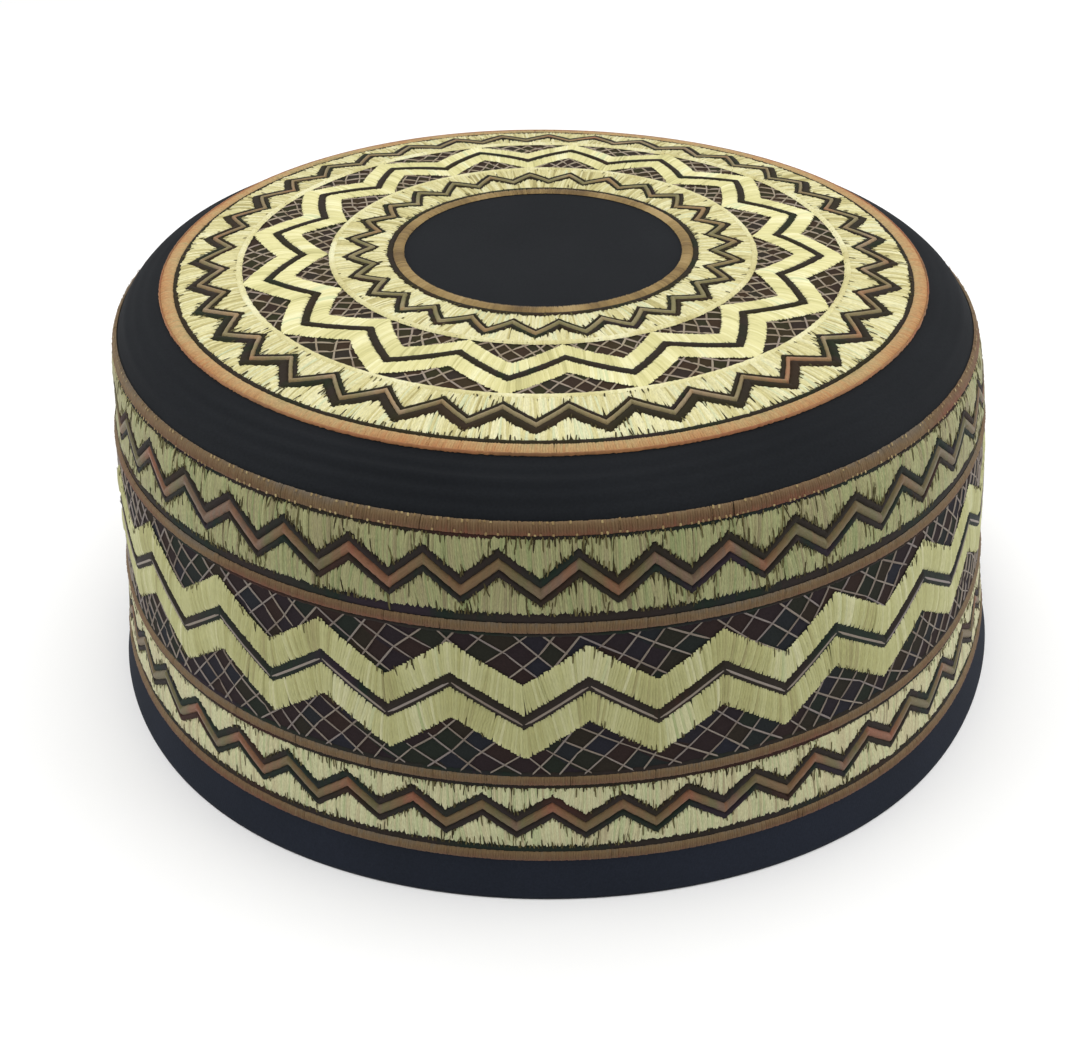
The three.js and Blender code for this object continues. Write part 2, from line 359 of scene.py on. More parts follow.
def shell(name, node, s0, s1, wall, material, rows_out, rows_in, round_foot=False, dent=None, zones=None):
    """A wall of cloth between two lengths, closed all round."""
    s = np.concatenate([np.linspace(s0, s1, rows_out), np.linspace(s1, s0, rows_in)])
    h = np.concatenate([np.zeros(rows_out), np.full(rows_in, -wall)])
    if round_foot:
        turn = np.linspace(0, math.pi, 9)[1:-1]
        s = np.concatenate([s, np.full(len(turn), s0)])
        h = np.concatenate([h, -wall / 2 - wall / 2 * np.cos(turn)])
    m = len(s)
    t2, s2 = np.meshgrid(np.arange(FLATS) / FLATS * TURN, s, indexing="ij")
    h2 = np.broadcast_to(h, t2.shape).copy()
    if dent is not None:
        h2 += dent(t2, s2)
    x, y, z = place(t2, s2, h2)
    points = np.stack([x, y, np.maximum(z, 0)], -1).reshape(-1, 3)
    a, b = np.meshgrid(np.arange(FLATS), np.arange(m), indexing="ij")
    keep = np.ones(m, bool)
    if s1 > s_end - 1 * MM:
        keep[rows_out - 1] = False
    a, b = a[:, keep], b[:, keep]
    corner_a = np.stack([a, a + 1, a + 1, a], -1)
    corner_b = np.stack([b, b, (b + 1) % m, (b + 1) % m], -1)
    quads = corner_a % FLATS * m + corner_b
    corner_t, corner_s = corner_a / FLATS * TURN, s[corner_b]
    outside = (h[corner_b] > -0.1 * MM).astype(float)
    values = {"around": corner_t * np.maximum(radius_of(corner_s), 1 * MM) / MM, "up": corner_s / MM}
    for key, data in (zones(corner_t, corner_s) if zones else {}).items():
        values[key] = data * outside if key.endswith("zone") else data
    finish_piece(make_mesh(name, points, quads.reshape(-1, 4), values, material), "cloth", node)


# Materials

def tree_of(name):
    material = bpy.data.materials.new(name)
    material.use_nodes = True
    tree = material.node_tree
    return material, tree, tree.nodes["Principled BSDF"]


def rgb(r, g, b):
    """Linear colour from the values a picture shows."""
    def linear(c):
        c /= 255
        return c / 12.92 if c <= 0.04045 else ((c + 0.055) / 1.055) ** 2.4
    return (linear(r), linear(g), linear(b), 1.0)


def set_values(owner, values):
    for key, value in values.items():
        owner.inputs[key].default_value = value


def ramp(tree, factor, stops):
    node = tree.nodes.new("ShaderNodeValToRGB")
    band = node.color_ramp
    while len(band.elements) < len(stops):
        band.elements.new(0.5)
    for element, (position, *colour) in zip(band.elements, stops):
        element.position = position
        element.color = rgb(*colour)
    tree.links.new(factor, node.inputs["Fac"])
    return node.outputs["Color"]


def attribute(tree, name):
    node = tree.nodes.new("ShaderNodeAttribute")
    node.attribute_name = name
    return node.outputs["Fac"]


def join(tree, sockets, values):
    """Each socket gets a number or a link."""
    for socket, value in zip(sockets, values):
        if isinstance(value, (int, float)):
            socket.default_value = value
        else:
            tree.links.new(value, socket)


def maths(tree, operation, *values):
    node = tree.nodes.new("ShaderNodeMath")
    node.operation = operation
    join(tree, node.inputs, values)
    return node.outputs["Value"]


def noise(tree, vector, scale, detail=2.0):
    node = tree.nodes.new("ShaderNodeTexNoise")
    set_values(node, {"Scale": scale, "Detail": detail})
    tree.links.new(vector, node.inputs["Vector"])
    return node.outputs["Fac"]


def combine(tree, *parts):
    node = tree.nodes.new("ShaderNodeCombineXYZ")
    join(tree, node.inputs, parts)
    return node.outputs["Vector"]


def bump(tree, shader, height, strength, distance):
    node = tree.nodes.new("ShaderNodeBump")
    set_values(node, {"Strength": strength, "Distance": distance})
    tree.links.new(height, node.inputs["Height"])
    tree.links.new(node.outputs["Normal"], shader.inputs["Normal"])


def blend(tree, factor, a, b, kind="MIX"):
    mix = tree.nodes.new("ShaderNodeMix")
    mix.data_type = "RGBA"
    mix.blend_type = kind
    join(tree, (mix.inputs["Factor"], mix.inputs["A"], mix.inputs["B"]), (factor, a, b))
    return mix.outputs["Result"]


def multiply(tree, colour, factor, low, high):
    """The colour times a factor spread between two values."""
    spread = tree.nodes.new("ShaderNodeMapRange")
    set_values(spread, {"From Min": 0.25, "From Max": 0.75, "To Min": low, "To Max": high})
    tree.links.new(factor, spread.inputs["Value"])
    grey = tree.nodes.new("ShaderNodeCombineColor")
    for k in range(3):
        tree.links.new(spread.outputs["Result"], grey.inputs[k])
    return blend(tree, 1.0, colour, grey.outputs["Color"], "MULTIPLY")


def thread_material(name, stops, roughness=0.6, sheen=0.08, specular=0.25, part_share=0.0,
                    spread=(0.85, 1.12), grain=0.3):
    """Satin thread; stops hold a place on the tint's scale and a colour."""
    material, tree, shader = tree_of(name)
    tint, across, along = (attribute(tree, key) for key in ("tint", "across", "along"))
    scales = ((across, 1.6), (along, grain), (tint, 7.0))
    scaled = [maths(tree, "MULTIPLY", value, scale) for value, scale in scales]
    fibres = noise(tree, combine(tree, *scaled), 2.0, 3.0)
    factor = tint
    if part_share:
        part = maths(tree, "MULTIPLY", attribute(tree, "part"), part_share)
        factor = maths(tree, "ADD", maths(tree, "MULTIPLY", tint, 1 - part_share), part)
    colour = multiply(tree, ramp(tree, factor, stops), fibres, *spread)
    tree.links.new(colour, shader.inputs["Base Color"])
    set_values(shader, {"Roughness": roughness, "Specular IOR Level": specular,
                        "Sheen Weight": sheen, "Sheen Roughness": 0.5})
    bump(tree, shader, fibres, 0.3, 0.2 * MM)
    return material


# Distance between two crossings of the woven ground, in millimetres
WEAVE = 0.55


def cloth_material(name, dark, light, net=None, net_ground=None):
    """Dark woven cloth; net holds the counts of net lines each way round."""
    material, tree, shader = tree_of(name)
    around, up = attribute(tree, "around"), attribute(tree, "up")
    coords = tree.nodes.new("ShaderNodeTexCoord").outputs["Object"]
    grain = noise(tree, coords, 2600.0)
    warp, weft = (maths(tree, "SINE", maths(tree, "MULTIPLY", way, TURN / WEAVE)) for way in (around, up))
    weave = maths(tree, "ADD", maths(tree, "MULTIPLY", maths(tree, "MULTIPLY", warp, weft), 0.4), grain)
    colour = ramp(tree, noise(tree, coords, 28.0, 3.0), [(0.3, *dark), (0.7, *light)])
    if net:
        cell = [maths(tree, "MODULO", maths(tree, "FLOOR", attribute(tree, key)), float(count))
                for key, count in zip(("net_a", "net_b"), net)]
        white = tree.nodes.new("ShaderNodeTexWhiteNoise")
        white.noise_dimensions = "2D"
        tree.links.new(combine(tree, *cell), white.inputs["Vector"])
        ground = ramp(tree, white.outputs["Value"], net_ground)
        colour = blend(tree, attribute(tree, "net_zone"), colour, ground)
        # Under the fills the cloth turns olive: painted shade that shows in the gaps between the strands.
        under = ramp(tree, noise(tree, coords, 300.0), FILL_GAP_SHADE)
        colour = blend(tree, attribute(tree, "fill_zone"), colour, under)
    colour = multiply(tree, colour, grain, 0.85, 1.15)
    tree.links.new(colour, shader.inputs["Base Color"])
    set_values(shader, {"Roughness": 0.95, "Specular IOR Level": 0.08,
                        "Sheen Weight": 0.015, "Sheen Roughness": 0.6})
    bump(tree, shader, weave, 0.2, 0.1 * MM)
    return material


# Grounds of the net, and the olive painted shade that shows between the fills' strands: place on the scale,
# then red, green and blue
SIDE_GROUND = [(0.0, 42, 31, 27), (0.3, 35, 28, 31), (0.5, 30, 31, 38), (0.7, 29, 34, 28), (1.0, 39, 32, 26)]
CROWN_GROUND = [(0.0, 56, 42, 29), (0.3, 48, 37, 31), (0.5, 44, 39, 33), (0.7, 43, 43, 25), (1.0, 53, 42, 28)]
FILL_GAP_SHADE = [(0.3, 48, 42, 24), (0.7, 70, 64, 40)]
HEM_TONES = (26, 30, 38), (31, 35, 45)
PLAIN_TONES = (22, 24, 27), (28, 30, 33)

# Threads
GOLD_STAR = thread_material("gold_star", [
    (0.0, 176, 170, 114), (0.3, 204, 198, 139), (0.65, 219, 213, 158), (0.9, 230, 226, 182),
    (1.0, 202, 206, 158)], spread=(0.92, 1.06))
GOLD_CROWN = thread_material("gold_crown", [
    (0.0, 168, 157, 100), (0.2, 196, 186, 128), (0.5, 213, 206, 152), (0.8, 228, 223, 180),
    (1.0, 206, 210, 168)], spread=(0.72, 1.1), grain=0.8)
GOLD_SIDE = thread_material("gold_side", [
    (0.0, 142, 136, 92), (0.3, 158, 156, 104), (0.65, 172, 171, 122), (0.9, 188, 186, 146),
    (1.0, 154, 162, 114)], spread=(0.86, 1.12), grain=0.6)
GOLD_UPPER = thread_material("gold_side_upper", [
    (0.0, 118, 109, 76), (0.25, 142, 135, 98), (0.5, 146, 143, 100), (0.75, 152, 153, 107),
    (1.0, 132, 139, 92)], sheen=0.2, spread=(0.7, 1.2), grain=0.8)
GOLD_LOWER = thread_material("gold_side_lower", [
    (0.0, 150, 140, 106), (0.25, 180, 171, 134), (0.5, 186, 181, 141), (0.75, 190, 189, 148),
    (1.0, 168, 174, 130)], sheen=0.2, spread=(0.72, 1.18), grain=0.8)
FLECK = thread_material("dark_nicks", [
    (0.0, 46, 40, 24), (0.5, 70, 64, 38), (1.0, 98, 92, 58)], roughness=0.8, sheen=0.0, specular=0.1)
COPPER_BRIGHT = thread_material("copper_bright", [
    (0.0, 172, 116, 70), (0.4, 176, 137, 90), (0.75, 176, 149, 102), (1.0, 146, 131, 86)],
    part_share=0.45, spread=(0.72, 1.2), grain=0.9)
RUST = thread_material("rust_thread", [(0.0, 140, 86, 54), (0.5, 148, 102, 62), (1.0, 122, 86, 54)])
COPPER_BROWN = thread_material("copper_brown", [
    (0.0, 112, 62, 42), (0.4, 101, 75, 49), (0.7, 107, 86, 57), (1.0, 96, 85, 70)],
    part_share=0.5, spread=(0.78, 1.18), grain=0.6)
OLIVE_GOLD = thread_material("olive_gold", [(0.0, 106, 84, 48), (0.5, 140, 116, 70), (1.0, 162, 138, 92)])
SPECK = thread_material("stitch_specks", [(0.0, 116, 94, 58), (0.5, 136, 114, 72), (1.0, 158, 140, 96)])
BROWN_SIDE = thread_material("brown_side", [
    (0.0, 116, 70, 49), (0.3, 98, 75, 47), (0.6, 86, 81, 49), (0.85, 98, 76, 60), (1.0, 112, 77, 52)],
    spread=(0.8, 1.2), grain=0.6)
BROWN_CROWN = thread_material("brown_crown", [
    (0.0, 152, 104, 72), (0.3, 130, 108, 73), (0.6, 122, 112, 75), (0.85, 140, 120, 92),
    (1.0, 152, 124, 86)], spread=(0.8, 1.15), grain=0.8)
BROWN_INNER = thread_material("brown_crown_inner", [
    (0.0, 138, 108, 70), (0.3, 122, 108, 68), (0.6, 112, 106, 66), (0.85, 132, 120, 84), (1.0, 140, 116, 76)])
DARK = thread_material("dark_outline", [
    (0.0, 50, 30, 25), (0.3, 34, 30, 22), (0.55, 38, 31, 29), (0.8, 22, 33, 25), (1.0, 35, 27, 34)],
    roughness=0.8, sheen=0.02, specular=0.12)
DARK_CROWN = thread_material("dark_crown_outline", [
    (0.0, 46, 34, 22), (0.35, 38, 34, 17), (0.6, 42, 34, 27), (0.8, 28, 35, 18), (1.0, 40, 31, 28)],
    roughness=0.8, sheen=0.02, specular=0.12)
NET = thread_material("net_thread", [
    (0.0, 108, 96, 86), (0.5, 130, 120, 108), (1.0, 118, 109, 106)], roughness=0.7)
NET_CROWN = thread_material("net_thread_crown", [
    (0.0, 128, 112, 92), (0.5, 150, 138, 116), (1.0, 142, 128, 116)], roughness=0.7)


# Pattern helpers

def angles(radius, pitch):
    """Evenly spaced strand angles with a little disorder."""
    n = int(round(TURN * radius / pitch))
    theta = (np.arange(n) + 0.5) / n * TURN
    return theta + (rng.random(n) - 0.5) * 0.3 * TURN / n, TURN / n


def wobble(theta, count, size):
    """Smooth closed noise round the cap."""
    knots = rng.normal(size=count)
    turns = (theta % TURN) / TURN * count
    low = np.floor(turns).astype(int)
    part = turns - low
    part = part * part * (3 - 2 * part)
    return size * (knots[low % count] * (1 - part) + knots[(low + 1) % count] * part)


class Zigzag:
    """A closed zigzag, called for its height or radius at any angle."""

    def __init__(self, teeth, phase, low, depth):
        n = 2 * teeth
        self.teeth = teeth
        self.start = FRONT + math.radians(phase)
        self.angle = np.arange(n) * TURN / n + rng.normal(size=n) * 0.03 * TURN / n
        self.level = low + depth * (np.arange(n) % 2 == 0) + rng.normal(size=n) * UNEVEN

    def __call__(self, theta):
        a = np.concatenate([self.angle - TURN, self.angle, self.angle + TURN])
        return np.interp((theta - self.start) % TURN, a, np.tile(self.level, 3))

    def moved(self, step):
        return lambda theta: self(theta) + step


def level(value):
    return lambda theta: np.full(len(theta), value)


def mixed(low=0.0, high=1.0, patches=120, spread=0.08, scatter=0.3, front=0.0):
    """Tint that drifts round the cap, with its own scatter on each strand; front raises it at the front and
    lowers it at the sides, painted light that makes front and sides differ.
    """
    def tint(theta, n):
        drift = 0.5 + wobble(theta, patches, spread) + rng.normal(size=n) * scatter
        # Painted light: the tint moves with the angle from the front, standing in for the change of light and
        # sheen from front to sides.
        drift = drift + front * (off_front(theta, 0, 0.75) - 0.4)
        return low + (high - low) * np.clip(drift, 0, 1)
    return tint


def by_arm(zigzag, scatter):
    """Tint that changes softly from one arm of a zigzag to the next."""
    arms = 2 * zigzag.teeth
    values = rng.random(arms + 1)
    def tint(theta, n):
        turn = ((theta - zigzag.start) % TURN) / TURN * arms
        return np.clip(np.interp(turn, np.arange(arms + 1), values) + rng.normal(size=n) * scatter, 0, 1)
    return tint


def across_arms(zigzag, amount):
    """Lean of satin strands across the arms of a zigzag, upright at its corners."""
    return lambda theta: amount * np.sin(((theta - zigzag.start) % TURN) * zigzag.teeth)


def fill(strands, low, high, to_s, radius, pitch, base, rise, tint, thin, ends, lean, wide,
         slant=None, tip=0.6):
    """Satin strands that run from one edge to another all round."""
    theta, step = angles(radius, pitch)
    n = len(theta)
    tilt = wobble(theta, 90, lean) + rng.normal(size=n) * lean * 0.6
    if slant is not None:
        tilt = tilt + slant(theta)
    reach = (to_s(high(theta)) - to_s(low(theta))) / 2
    r = radius_of(to_s(low(theta)) + reach)
    t0, t1 = theta - tilt * reach / r, theta + tilt * reach / r
    s0, s1 = to_s(low(t0)), to_s(high(t1))
    flip = s0 > s1
    s0, s1 = np.where(flip, s1, s0), np.where(flip, s0, s1)
    t0, t1 = np.where(flip, t1, t0), np.where(flip, t0, t1)
    slack = np.minimum(ends, 0.3 * (s1 - s0))
    s0 = s0 + (rng.random(n) - 0.5) * 2 * slack
    s1 = s1 + (rng.random(n) - 0.5) * 2 * slack
    keep = s1 - s0 > SHORTEST
    width = r * step * (0.9 + 0.3 * rng.random(n)) * wide
    width = np.where(rng.random(n) < thin, width * 0.55, width)
    lift = rise * (0.9 + 0.2 * rng.random(n))
    shade = tint(theta, n)
    strands.add(t0[keep], s0[keep], t1[keep], s1[keep], width[keep], base, lift[keep], shade[keep], tip)


def flecks(strands, edge, way, to_s, radius, pitch, longest):
    """Short dark nicks, in loose groups, that reach from an edge into pale stitching."""
    theta, step = angles(radius, pitch)
    theta = theta + (rng.random(len(theta)) - 0.5) * step
    share = np.clip(0.5 + wobble(theta, 90, 0.35), 0.1, 0.95) * (0.5 + 0.5 * off_front(theta, 0, 0.8))
    theta = theta[rng.random(len(theta)) < share]
    n = len(theta)
    tilt = rng.normal(size=n) * 0.12
    a = to_s(edge(theta) - way * 0.25 * MM)
    b = to_s(edge(theta) + way * (0.35 * MM + longest * rng.random(n) ** 2))
    shift = np.abs(tilt * (b - a) / radius_of(a)) * np.sign(tilt)
    width = (0.16 + 0.12 * rng.random(n)) * MM
    strands.add(theta, np.minimum(a, b), theta + shift, np.maximum(a, b), width, NICK_FOOT, NICK_RISE,
                rng.random(n), 0.4)


# Heights and radii, read from the CAD model

def heights(node):
    low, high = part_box(node)
    return low.z, high.z


def radii(node):
    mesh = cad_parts[node].data
    co = np.empty(len(mesh.vertices) * 3)
    mesh.vertices.foreach_get("co", co)
    r = np.hypot(co[0::3], co[1::3])
    return r.min(), r.max()


hem_line, seam_line = heights("hem_line"), heights("crown_seam_line")
lower_line, upper_line = heights("side_lower_line"), heights("side_upper_line")
low_band, high_band = heights("side_zigzag_lower"), heights("side_zigzag_upper")
inner_ring, outer_ring = radii("crown_inner_line"), radii("crown_outer_line")
star_in, star_out = radii("star_inner"), radii("star_outer")
side_space = high_band[0] - low_band[0] - SIDE_BAND
star_space = star_out[0] - star_in[0] - STAR_BAND
arc_in, arc_out = star_in[0] - 0.4 * MM, star_out[1] + 0.1 * MM


class Net:
    """Two families of slanting threads. A line of a family lies where its count is whole."""

    def __init__(self, counts, radius, slopes, to_height, opening=0.0):
        self.counts, self.to_height, self.opening = counts, to_height, opening
        families = zip((-1, 1), counts, slopes)
        self.leans = [way * count / TURN / radius / slope for way, count, slope in families]

    def uneven(self, theta, k):
        wide = self.opening * self.counts[k] * np.sin(2 * (theta - FRONT))
        return 0.2 * np.sin(13 * theta + 0.5 + 2 * k) + 0.14 * np.sin(37 * theta + 2 + k) - wide

    def value(self, theta, s, k):
        return self.counts[k] / TURN * theta + self.leans[k] * self.to_height(s) + self.uneven(theta, k)

    def angle(self, line, s, k):
        start = (line - self.leans[k] * self.to_height(s)) / self.counts[k] * TURN
        theta = start
        for _ in range(10):
            theta = start - self.uneven(theta, k) / self.counts[k] * TURN
        return theta

    def threads(self, strands, s0, s1, inside, width, rise):
        """Lays each thread of both families where it is inside, in short straight strands."""
        s = np.linspace(s0, s1, NET_STATIONS)
        for k in (0, 1):
            for line in range(self.counts[k]):
                theta = self.angle(line, s, k)
                seen = inside((theta[:-1] + theta[1:]) / 2, (s[:-1] + s[1:]) / 2).astype(int)
                edge = np.flatnonzero(np.diff(np.concatenate([[0], seen, [0]])))
                for i, j in zip(edge[0::2], edge[1::2]):
                    if j - i < NET_SHORTEST:
                        continue
                    stop = np.linspace(i, j, max(2, (j - i) // NET_STRAND + 1)).round().astype(int)
                    a, b = theta[stop], s[stop]
                    n = len(a) - 1
                    wide = width * (0.85 + 0.3 * rng.random(n))
                    strands.add(a[:-1], b[:-1], a[1:], b[1:], wide, EDGE_FOOT, rise, rng.random(n))


side_net = Net(SIDE_LINES, SIDE_NET_RADIUS, SIDE_SLOPES, height_of, SIDE_OPENING)
crown_net = Net(CROWN_LINES, STAR_RADIUS, CROWN_SLOPES, lambda s: -radius_of(s))


def zones(net, measure, net_spans, fill_spans):
    """Attributes that colour the cloth: the net's diamonds, and the olive painted shade that shows between
    the fills' strands.
    """
    def within(value, spans):
        return np.any([(value > low) & (value < high) for low, high in spans], axis=0).astype(float)

    def at(theta, s):
        return {
            "net_a": net.value(theta, s, 0),
            "net_b": net.value(theta, s, 1),
            "net_zone": within(measure(s), net_spans),
            "fill_zone": within(measure(s), fill_spans),
        }
    return at


side_zones = zones(side_net, height_of, [(lower_line[0], upper_line[1])],
                   [(hem_line[1], lower_line[0]), (upper_line[1], seam_line[0])])
crown_zones = zones(crown_net, radius_of, [(arc_in, arc_out)],
                    [(inner_ring[1], arc_in), (arc_out, outer_ring[0])])

# Cloth
HEM_CLOTH = cloth_material("hem_cloth", *HEM_TONES)
SIDE_CLOTH = cloth_material("side_cloth", *PLAIN_TONES, side_net.counts, SIDE_GROUND)
CROWN_CLOTH = cloth_material("crown_cloth", *PLAIN_TONES, crown_net.counts, CROWN_GROUND)
hem_seam = at_height(sum(hem_line) / 2)
crown_seam = at_height(sum(seam_line) / 2)


def crown_dent(theta, s):
    """Soft creases that follow the shoulder, deepest at the front left."""
    start, end = at_height(seam_line[1]), at_radius(outer_ring[1])
    part = np.clip((s - start) / (end - start), 0, 1)
    mask = np.sin(part * math.pi) ** 0.7
    where = 0.08 + off_front(theta, -0.5, 0.5) + 0.3 * off_front(theta, 0.8, 0.35)
    fold = np.sin(part * 26 + 1.5 * np.sin(2.0 * theta + 0.4) + 0.6 * np.sin(7 * theta)) * FINE_FOLD * MM
    fold = fold + np.sin(part * 11 + 2.0 * np.sin(3.0 * theta)) * WIDE_FOLD * MM
    slow = SLOW_WAVE * MM * np.sin(7 * theta + 1) * np.sin(part * math.pi)
    return mask * (fold * where + slow)


shell("crown_cloth", "crown", crown_seam + CUT, s_end, WALL, CROWN_CLOTH, rows_out=170, rows_in=24,
      dent=crown_dent, zones=crown_zones)
shell("side_cloth", "side_band", hem_seam + CUT, crown_seam - CUT, WALL, SIDE_CLOTH, rows_out=80, rows_in=16,
      zones=side_zones)
shell("hem_cloth", "hem_band", 0.0, hem_seam - CUT, HEM_WALL, HEM_CLOTH, rows_out=14, rows_in=8,
      round_foot=True)


def line(node, span, to_s, material, scatter=0.1):
    """A raised satin line over a CAD line; its radius sets how many strands go round."""
    row = LINES[node]
    low, high = span[0] + row.low * MM, span[1] - row.high * MM
    strands = Strands()
    fill(strands, level(low), level(high), to_s, row.radius * MM, LINE_PITCH, LINE_FOOT, LINE_RISE,
         mixed(patches=40, spread=0.25, scatter=scatter), thin=0.03, ends=0.05 * MM, lean=0.06,
         wide=1.35, tip=0.8)
    strands.build(node + "_stitches", material, "copper_thread", node)


line("hem_line", hem_line, at_height, COPPER_BROWN)
line("side_lower_line", lower_line, at_height, COPPER_BROWN)
line("side_upper_line", upper_line, at_height, COPPER_BROWN)
line("crown_seam_line", seam_line, at_height, COPPER_BROWN)
line("crown_outer_line", outer_ring, at_radius, COPPER_BRIGHT, scatter=0.2)
line("crown_inner_line", inner_ring, at_radius, OLIVE_GOLD)

# Thin rust edge outside the crown's outer line
rust = Strands()
rust.ribbon(level(outer_ring[1] - 0.2 * MM), level(outer_ring[1] + 0.12 * MM), at_radius, None,
            RUST_FOOT, RUST_RISE, mixed(patches=50, spread=0.3, scatter=0.05), fray=0.05 * MM)
rust.build("crown_outer_line_edge", RUST, "copper_thread")

# Small light stitches along both edges of the seam line
specks = Strands()
for edge in (seam_line[1] - 0.35 * MM, seam_line[0] + 0.25 * MM):
    theta, step = angles(LINES["crown_seam_line"].radius * MM, SPECK_PITCH)
    theta = theta[rng.random(len(theta)) < 0.45]
    n = len(theta)
    s = at_height(edge) + rng.normal(size=n) * 0.05 * MM
    half = (0.25 + 0.3 * rng.random(n)) * MM / 2
    slip = (rng.random(n) - 0.5) * 0.004
    specks.add(theta, s - half, theta + slip, s + half, *SPECK_SIZE, rng.random(n))
specks.build("crown_seam_specks", SPECK, "copper_thread")


def border(name, low_line, high_line, to_s, gold, brown, outline):
    """A pale field between two lines, with a small dark, brown and dark zigzag in it."""
    row = BORDERS[name]
    bottom, top = low_line + row.low * MM, high_line - row.high * MM
    first, strip, last = (width * MM for width in row.strips)
    whole = first + strip + last
    radius, depth = row.radius * MM, row.depth * MM
    zig = Zigzag(row.teeth, row.phase, row.tip * MM - depth, depth)
    strands = Strands()
    for low, high in ((zig, level(top)), (level(bottom), zig.moved(-whole))):
        # The fills' tints carry painted light: front=0.25 shifts their colour between the front and the sides
        # of the cap.
        fill(strands, low, high, to_s, radius, FILL_PITCH, FILL_FOOT, FILL_RISE,
             mixed(scatter=0.22, front=0.25), thin=0.15, ends=0.3 * MM, lean=0.08, wide=1.6, tip=0.35)
    strands.build(name + "_fill", gold, "gold_thread")
    strands = Strands()
    for edge, way in ((zig, 1), (level(top), -1), (level(bottom), 1), (zig.moved(-whole), -1)):
        flecks(strands, edge, way, to_s, radius, *(size * MM for size in row.nicks))
    strands.build(name + "_flecks", FLECK, "cloth")
    strands = Strands()
    for low, high in ((-first - UNDER, OVER), (-whole - OVER, UNDER - first - strip)):
        strands.ribbon(zig.moved(low), zig.moved(high), to_s, zig, OUTLINE_FOOT, OUTLINE_RISE,
                       mixed(patches=60, spread=0.3, scatter=0.03))
    strands.build(name + "_outline", outline, "cloth")
    strands = Strands()
    strands.ribbon(zig.moved(-first - strip), zig.moved(-first), to_s, zig, STRIP_FOOT, STRIP_RISE,
                   by_arm(zig, 0.04), fray=0.04 * MM)
    strands.build(name + "_strip", brown, "copper_thread")


border("side_upper_border", upper_line[1], seam_line[0], at_height, GOLD_UPPER, BROWN_SIDE, DARK)
border("side_lower_border", hem_line[1], lower_line[0], at_height, GOLD_LOWER, BROWN_SIDE, DARK)
border("crown_outer_border", arc_out, outer_ring[0], at_radius, GOLD_CROWN, BROWN_CROWN, DARK_CROWN)
border("crown_inner_border", inner_ring[1], arc_in, at_radius, GOLD_CROWN, BROWN_INNER, DARK_CROWN)


def rings(name, spans, to_s, foot, rise, tint, material, slot):
    """Flat satin rings, whose low and high edges lie some millimetres from a height or radius."""
    strands = Strands()
    for measure, low, high in spans:
        strands.ribbon(level(measure + low * MM), level(measure + high * MM), to_s, None, foot, rise, tint)
    strands.build(name, material, slot)


# Dark edges beside the copper lines
EDGE_TINT = mixed(patches=40, spread=0.3, scatter=0.03)
rings("side_line_edges", (
    (upper_line[1], -0.2, 1.7), (upper_line[0], -0.5, 0.2), (seam_line[0], -0.7, 0.2),
    (hem_line[1], -0.2, 1.4), (lower_line[0], -0.6, 0.5), (lower_line[1], -0.5, 0.4),
), at_height, EDGE_FOOT, SIDE_EDGE_RISE, EDGE_TINT, DARK, "cloth")
rings("crown_line_edges", ((outer_ring[0], -0.8, 0.4), (inner_ring[1], -0.2, 1.3)),
      at_radius, EDGE_FOOT, CROWN_EDGE_RISE, EDGE_TINT, DARK_CROWN, "cloth")


def double_band(name, nodes, zig, band, space, to_s, radius, pitch, lean, gold, outline, nicks):
    """Two wide satin zigzag bands with a dark one between them, with or without dark nicks."""
    for node, start in zip(nodes, (0, band + space)):
        satin = Strands()
        fill(satin, zig.moved(start), zig.moved(start + band), to_s, radius, pitch, BAND_FOOT, BAND_RISE,
             mixed(0.05, 1.0, spread=0.18, scatter=0.14), thin=0.04, ends=0.12 * MM, lean=0.03, wide=1.5,
             slant=across_arms(zig, lean))
        satin.build(node + "_satin", gold, "gold_thread", node)
    if nicks:
        short = Strands()
        for start, way in ((0, 1), (2 * band + space, -1)):
            flecks(short, zig.moved(start), way, to_s, radius, NICK_PITCH, NICK_REACH)
        short.build(name + "_flecks", FLECK, "cloth")
    middle = Strands()
    middle.ribbon(zig.moved(band - UNDER), zig.moved(band + space + UNDER), to_s, zig,
                  MIDDLE_FOOT, MIDDLE_RISE, mixed(patches=60, spread=0.2, scatter=0.03))
    middle.build(name + "_middle", outline, "cloth")


side_zig = Zigzag(SIDE_TEETH, SIDE_PHASE, low_band[0], SIDE_DEPTH)
double_band("side_zigzag", ("side_zigzag_lower", "side_zigzag_upper"), side_zig, SIDE_BAND, side_space,
            at_height, SIDE_BAND_RADIUS, SIDE_PITCH, SIDE_LEAN, GOLD_SIDE, DARK, nicks=True)
star_zig = Zigzag(STAR_TEETH, STAR_PHASE, star_in[0], STAR_DEPTH)
double_band("star", ("star_inner", "star_outer"), star_zig, STAR_BAND, star_space,
            at_radius, STAR_RADIUS, STAR_PITCH, STAR_LEAN, GOLD_STAR, DARK_CROWN, nicks=False)

# Thin pale rings inside and outside the star
rings("star_arcs", ((arc_in, -0.8, 0.4), (arc_out, -0.4, 0.9)), at_radius, ARC_FOOT, ARC_RISE,
      mixed(0.1, 0.9, patches=60, spread=0.2, scatter=0.1), GOLD_CROWN, "gold_thread")


def beside(zig, measure, band, space):
    """Whether a place lies under or over the two bands of a zigzag, with a slight overlap."""
    slack = 0.2 * MM
    return lambda theta, s: ((measure(s) < zig(theta) + slack)
                             | (measure(s) > zig(theta) + 2 * band + space - slack))


